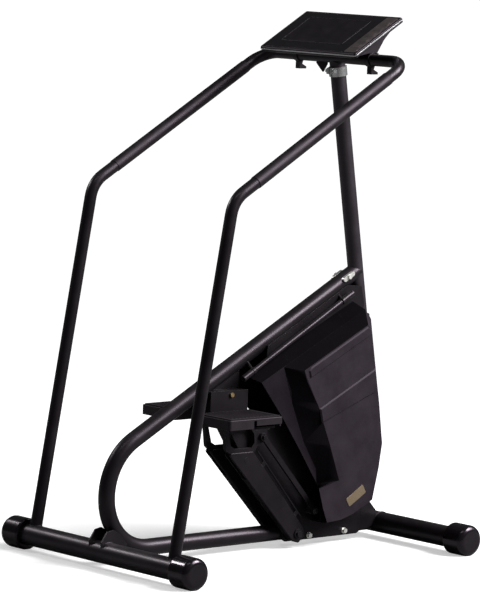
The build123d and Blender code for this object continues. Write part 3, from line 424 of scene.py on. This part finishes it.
def cover_with_painted_shade(side):
    """Splits the cover's recessed wall along the fin line and paints shade on it: the strip behind the
    fin line darker, and the recess in front of it, its upper edge and the pod's rear step flat black.
    """
    made = refined("side_cover_" + side, COVER_WIDTH, COVER_SEGMENTS)
    shape = bmesh.new()
    shape.from_mesh(made.data)
    run = (FIN_LOW - FIN_TOP).normalized()
    ahead = Vector((0.0, -run.z, run.y))

    def in_recess(face):
        depth = abs(face.calc_center_median().x)
        return abs(depth - RECESS_X) < WALL_PLAY and abs(face.normal.x) > SQUARE_ON

    wall = [face for face in shape.faces if in_recess(face)]
    wall_edges = dict.fromkeys(edge for face in wall for edge in face.edges)
    wall_verts = dict.fromkeys(vert for face in wall for vert in face.verts)
    bmesh.ops.bisect_plane(shape, geom=[*wall, *wall_edges, *wall_verts],
                           plane_co=FIN_TOP, plane_no=ahead)
    for face in shape.faces:
        middle = face.calc_center_median()
        depth = abs(middle.x)
        in_front = (middle - FIN_TOP).dot(ahead) > 0
        upper_edge = depth < RECESS_X - EDGE_DEPTH and face.normal.z > TILTED
        pod_step = RECESS_X < depth < POD_STEP_X and face.normal.y < -TILTED
        # painted shade: the strip behind the fin line takes the darker plastic, and the recess in
        # front of it, its upper edge and the pod's rear step the flat black
        if not in_front and RECESS_X - STRIP_DEPTH < depth < RECESS_X + WALL_PLAY:
            face.material_index = PAINTED_FIN_SHADE
        elif (in_front and in_recess(face)) or upper_edge or pod_step:
            face.material_index = PAINTED_SHADE
        else:
            face.material_index = PLAIN
    shape.to_mesh(made.data)
    shape.free()
    made.data.materials.append(MATERIALS["recess_painted_shade"])
    made.data.materials.append(MATERIALS["fin_painted_shade"])


for side in SIDES:
    cover_with_painted_shade(side)


# ---- weld beads ----

BEAD_SIDES = 10
RIPPLE_PITCH = 2.6 * MM
RIPPLE_LOSS = 0.22
SADDLE_STEPS = 150
SADDLE_REACH = 0.6


def bvh_of(name):
    shape = bmesh.new()
    shape.from_mesh(frame["nodes"][name].data)
    tree = BVHTree.FromBMesh(shape)
    shape.free()
    return tree


def across(axis):
    """Two unit directions square to an axis."""
    first = axis.orthogonal().normalized()
    return first, axis.cross(first).normalized()


def circle(count):
    """Angles evenly round a circle, in radians."""
    return [math.tau * k / count for k in range(count)]


def band(shape, low, high, shift=0):
    """Four-sided faces between two loops of equally many vertices."""
    count = len(low)
    for k in range(count):
        n = (k + 1) % count
        shape.faces.new((low[k], low[n], high[(n + shift) % count], high[(k + shift) % count]))


def bead(name, path, radius, closed=True):
    """A weld bead along points: a round ridge with the overlapping ripples of its passes."""
    shape = bmesh.new()
    count = len(path)
    rings = []
    travelled = 0.0
    for i, point in enumerate(path):
        before = path[i - 1] if closed or i else point
        after = path[(i + 1) % count] if closed or i < count - 1 else point
        travelled += (point - before).length
        first, second = across((after - before).normalized())
        phase = (travelled / RIPPLE_PITCH) % 1.0
        swell = radius * (1.0 - RIPPLE_LOSS * phase)
        rings.append([shape.verts.new(point + (first * math.cos(t) + second * math.sin(t)) * swell)
                      for t in circle(BEAD_SIDES)])
    for i in range(count if closed else count - 1):
        here, there = rings[i], rings[(i + 1) % count]
        nearest = min(range(BEAD_SIDES), key=lambda k: (here[0].co - there[k].co).length)
        band(shape, here, there, nearest)
    if not closed:
        shape.faces.new(rings[0])
        shape.faces.new(reversed(rings[-1]))
    bmesh.ops.recalc_face_normals(shape, faces=shape.faces)
    return add_piece(name, shape, "base", "frame_paint")


def saddle(tree, start, aim, radius):
    """Where a round tube of a radius, running from start along aim, first meets a surface."""
    first, second = across(aim)
    path = []
    for turn in circle(SADDLE_STEPS):
        begin = start + (first * math.cos(turn) + second * math.sin(turn)) * radius
        hit = tree.ray_cast(begin, aim, SADDLE_REACH)[0]
        if hit is not None:
            path.append(hit)
    return path


RAIL_X = 0.300
RAIL_R = 0.017
RAIL_BEND_AHEAD = 0.172
RAIL_BEND_Z = 1.033
UPRIGHT_START = 0.14
UPRIGHT_WELD_R = 2.3 * MM
rear = centre("rear_base_tube")
front = centre("front_base_tube")
rear_tree = bvh_of("rear_base_tube")

for side, sign in SIDES.items():
    foot = Vector((sign * RAIL_X, rear.y, rear.z))
    bend = Vector((sign * RAIL_X, rear.y + RAIL_BEND_AHEAD, RAIL_BEND_Z))
    run = (bend - foot).normalized()
    ring = saddle(rear_tree, foot + run * UPRIGHT_START, -run, RAIL_R)
    bead("upright_weld_" + side, ring, UPRIGHT_WELD_R)

GUSSET_WELD_X = 0.0287
GUSSET_WELD_ARC_R = 0.0307
GUSSET_WELD_R = 1.9 * MM
GUSSET_WELD_STEPS = 60
# each base tube's bead, from its first to its last angle about the tube, in degrees
GUSSET_WELDS = {"rear": (rear, 20.0, 118.0), "front": (front, 62.0, 168.0)}

for tag, (hub, first_turn, last_turn) in GUSSET_WELDS.items():
    for side, sign in SIDES.items():
        arc = []
        for k in range(GUSSET_WELD_STEPS + 1):
            turn = math.radians(first_turn + (last_turn - first_turn) * k / GUSSET_WELD_STEPS)
            arc.append(hub + Vector((sign * GUSSET_WELD_X, GUSSET_WELD_ARC_R * math.cos(turn),
                                     GUSSET_WELD_ARC_R * math.sin(turn))))
        bead(tag + "_gusset_weld_" + side, arc, GUSSET_WELD_R, closed=False)


# ---- console details ----

TILT = math.radians(30.3)
UP_SLOPE = Vector((0.0, math.cos(TILT), math.sin(TILT)))
FACE_NORMAL = Vector((0.0, -math.sin(TILT), math.cos(TILT)))
CONSOLE_D = 0.206
CONSOLE_AHEAD = 0.691
CONSOLE_Z = 1.420
CORNER_STEPS = 8
SCREW_SIDES = 20
console_centre = Vector((0.0, rear.y + CONSOLE_AHEAD, CONSOLE_Z)) + UP_SLOPE * (CONSOLE_D / 2)


def on_console(x, up, height):
    """A point given across the console's face, up its slope and out from it."""
    return console_centre + Vector((x, 0, 0)) + UP_SLOPE * up + FACE_NORMAL * height


def outline(width, depth, radius):
    """Corner-rounded rectangle as (x, up) pairs, anticlockwise."""
    points = []
    for sx, sy, start in ((1, 1, 0), (-1, 1, 90), (-1, -1, 180), (1, -1, 270)):
        for k in range(CORNER_STEPS + 1):
            turn = math.radians(start + 90 * k / CORNER_STEPS)
            points.append((sx * (width / 2 - radius) + radius * math.cos(turn),
                           sy * (depth / 2 - radius) + radius * math.sin(turn)))
    return points


def stacked(levels, x, up):
    """Loops of rounded rectangles about a place; levels are (width, depth, radius, height)."""
    return [[on_console(x + a, up + b, height) for a, b in outline(width, depth, radius)]
            for width, depth, radius, height in levels]


def turned(profile, x, up):
    """Loops of a round form about a place; the profile is (radius, height)."""
    return [[on_console(x + radius * math.cos(t), up + radius * math.sin(t), height)
             for t in circle(SCREW_SIDES)] for radius, height in profile]


def lofted(name, loops, finish, ring=False):
    """A closed piece through loops of points: capped at both ends, or a ring back to its start."""
    shape = bmesh.new()
    rings = [[shape.verts.new(point) for point in loop] for loop in loops]
    for low, high in zip(rings, rings[1:]):
        band(shape, low, high)
    if ring:
        band(shape, rings[-1], rings[0])
    else:
        shape.faces.new(reversed(rings[0]))
        shape.faces.new(rings[-1])
    bmesh.ops.recalc_face_normals(shape, faces=shape.faces)
    return add_piece(name, shape, "base", finish)


DISPLAY_X = -0.0233
DISPLAY_UP = 0.006
BEZEL_WIDTH = 0.252
BEZEL_DEPTH = 0.128
BEZEL_BAND = 0.0022
BEZEL_CORNER_R = 0.004
BEZEL_HEIGHT = 0.0009
BEZEL_SUNK = 0.0002
# the moulding's section, from its outer foot to its inner foot: share of the band, share of the height
BEZEL_SECTION = ((0.0, 0.0), (0.0, 0.7), (0.18, 1.0), (0.82, 1.0), (1.0, 0.7), (1.0, 0.0))
bezel_levels = []
for share, rise in BEZEL_SECTION:
    grow = BEZEL_BAND * (1.0 - share) * 2
    bezel_levels.append((BEZEL_WIDTH + grow, BEZEL_DEPTH + grow, BEZEL_CORNER_R + grow / 2,
                         BEZEL_HEIGHT * rise - BEZEL_SUNK))
lofted("display_bezel", stacked(bezel_levels, DISPLAY_X, DISPLAY_UP), "console_plastic", ring=True)

PANEL_LEVELS = ((0.250, 0.126, 0.0035, -0.0001), (0.250, 0.126, 0.0035, 0.00025),
                (0.249, 0.125, 0.003, 0.0004))
lofted("display_panel", stacked(PANEL_LEVELS, DISPLAY_X, DISPLAY_UP), "display_tint")

KEYPAD_X = 0.169
KEY_COUNT = 5
KEY_PITCH = 0.031
KEY_LEVELS = ((0.030, 0.019, 0.005, 0.0002), (0.030, 0.019, 0.005, 0.0007),
              (0.0285, 0.0175, 0.0045, 0.0011), (0.024, 0.013, 0.0035, 0.0013))
for row in range(KEY_COUNT):
    key_up = (row - (KEY_COUNT - 1) / 2) * KEY_PITCH
    lofted("key_" + str(row), stacked(KEY_LEVELS, KEYPAD_X, key_up), "keypad_film")

# screws that hold the console's lip, seen from below, with a round recess in each head
SCREW_X = 0.188
SCREW_UP = 0.091
SCREW_PROFILE = ((0.0042, -0.0148), (0.0042, -0.0160), (0.0034, -0.0170), (0.0016, -0.0173),
                 (0.0014, -0.0162), (0.0004, -0.0160))
for x_name, x_sign in (("l", -1), ("r", 1)):
    for up_name, up_sign in (("b", -1), ("f", 1)):
        loops = turned(SCREW_PROFILE, x_sign * SCREW_X, up_sign * SCREW_UP)
        lofted("console_screw_" + x_name + up_name, loops, "dark_steel")


# ================= stage, light and camera =================

FLOOR_R = 90.0
FLOOR_SIDES = 96
FLOOR_GLOW = 0.48
FLOOR_BOUNCE = (0.20, 0.20, 0.20, 1.0)
ROOM_COLOUR = (0.93, 0.94, 0.97, 1.0)
ROOM_STRENGTH = 0.06
WHITE = (1.0, 1.0, 1.0, 1.0)

SUN_POWER = 4.4
SUN_ANGLE = math.radians(36)
SUN_GLOSS = 0.2
SUN_AIM = Vector((-0.55, -0.50, -0.67))
# each softbox: place, target, width, height and power in watts
SOFTBOXES = {
    "key_softbox": ((2.5, 1.9, 2.9), (0.0, 0.1, 0.85), 1.5, 1.5, 175.0),
    "top_strip": ((1.2, -1.6, 4.4), (0.0, 0.0, 0.4), 2.6, 0.35, 16.0),
    "left_strip": ((-3.0, -1.5, 2.7), (0.0, -0.3, 0.3), 1.1, 0.25, 42.0),
}

CAMERA_PLACE = (7.76995, -6.91476, 1.83890)
CAMERA_TURN = (83.8421, -1.9885, 48.7160)      # degrees about X, Y and Z
CAMERA_LENS = 223.12
CAMERA_SENSOR = 36.0
CAMERA_REACH = 400.0


def seen_apart(tree, lit, seen, output):
    """The camera sees one shader, and all other light meets the other."""
    camera_ray = tree.nodes.new("ShaderNodeLightPath").outputs["Is Camera Ray"]
    chooser = tree.nodes.new("ShaderNodeMixShader")
    tree.links.new(camera_ray, chooser.inputs["Fac"])
    tree.links.new(lit, chooser.inputs[1])
    tree.links.new(seen, chooser.inputs[2])
    tree.links.new(chooser.outputs["Shader"], tree.nodes[output].inputs["Surface"])


def floor():
    """A pale floor that throws little light back, so that the dark paint keeps its depth."""
    bpy.ops.mesh.primitive_circle_add(vertices=FLOOR_SIDES, radius=FLOOR_R, fill_type="NGON",
                                      location=(0, 0, 0))
    disc = bpy.context.object
    disc.name = "studio_floor"
    r = Recipe("pale_floor", roughness=0.7, specular=0.2)
    colour = r.mix(r.remap(r.noise(0.6), 0.3, 0.7), (0.62, 0.62, 0.62), (0.64, 0.64, 0.64))
    r.shader.inputs["Emission Color"].default_value = WHITE
    r.shader.inputs["Emission Strength"].default_value = FLOOR_GLOW
    absorbing = r.node("BsdfDiffuse", {"Color": FLOOR_BOUNCE}).outputs["BSDF"]
    seen_apart(r.tree, absorbing, r.shader.outputs["BSDF"], "Material Output")
    disc.data.materials.append(r.finish(colour))


def room():
    """White behind the object for the camera, and a faint cool glow for the light on it."""
    world = bpy.data.worlds.new("studio")
    world.use_nodes = True
    tree = world.node_tree
    glow = tree.nodes["Background"]
    glow.inputs["Color"].default_value = ROOM_COLOUR
    glow.inputs["Strength"].default_value = ROOM_STRENGTH
    paper = tree.nodes.new("ShaderNodeBackground")
    paper.inputs["Color"].default_value = WHITE
    paper.inputs["Strength"].default_value = 1.0
    seen_apart(tree, glow.outputs["Background"], paper.outputs["Background"], "World Output")
    bpy.context.scene.world = world


def add_lamp(data, aim, place=(0.0, 0.0, 0.0)):
    """Hangs a lamp at a place, shining along a direction."""
    lamp = bpy.data.objects.new(data.name, data)
    lamp.location = place
    lamp.rotation_mode = "QUATERNION"
    lamp.rotation_quaternion = aim.to_track_quat("-Z", "Y")
    bpy.context.scene.collection.objects.link(lamp)


def lights():
    sun = bpy.data.lights.new("overhead_sun", "SUN")
    sun.energy = SUN_POWER
    sun.angle = SUN_ANGLE
    sun.specular_factor = SUN_GLOSS
    add_lamp(sun, SUN_AIM)
    for name, (place, target, width, height, power) in SOFTBOXES.items():
        softbox = bpy.data.lights.new(name, "AREA")
        softbox.shape = "RECTANGLE"
        softbox.size = width
        softbox.size_y = height
        softbox.energy = power
        add_lamp(softbox, Vector(target) - Vector(place), place)


def camera():
    data = bpy.data.cameras.new("photo_camera")
    data.sensor_width = CAMERA_SENSOR
    data.lens = CAMERA_LENS
    data.clip_end = CAMERA_REACH
    shot = bpy.data.objects.new("photo_camera", data)
    turn = Euler([math.radians(angle) for angle in CAMERA_TURN], "XYZ")
    shot.matrix_world = Matrix.Translation(CAMERA_PLACE) @ turn.to_matrix().to_4x4()
    bpy.context.scene.collection.objects.link(shot)
    bpy.context.scene.camera = shot


floor()
room()
lights()
camera()
bpy.context.scene.view_settings.view_transform = "Standard"
